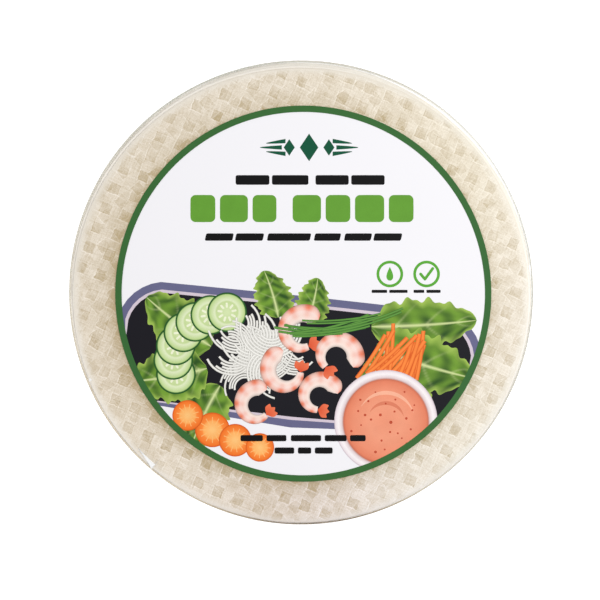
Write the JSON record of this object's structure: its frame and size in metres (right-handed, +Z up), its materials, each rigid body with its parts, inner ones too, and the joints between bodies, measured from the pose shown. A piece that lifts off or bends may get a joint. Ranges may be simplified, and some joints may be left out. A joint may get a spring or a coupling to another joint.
{
  "type": "rice paper wrapper stack",
  "caption": "Round pack of dried rice paper sheets, stacked and shrink-wrapped in clear film, with a round paper label on top.",
  "frame": {"origin": "centre of the base, where the pack rests", "axes": "+Z up through the stack, out of the label; +Y towards the top of the label"},
  "size_m": [0.2252, 0.2252, 0.0138],
  "materials": {
    "clear_film": "clear glossy shrink film, drawn tight",
    "rice_sheet": "dry, brittle, faintly translucent cream sheet with a basket-weave imprint",
    "label_paper": "smooth white printed label paper"
  },
  "bodies": {
    "root": {"wrapped_stack": "clear_film", "label": "label_paper"}
  },
  "joints": []
}
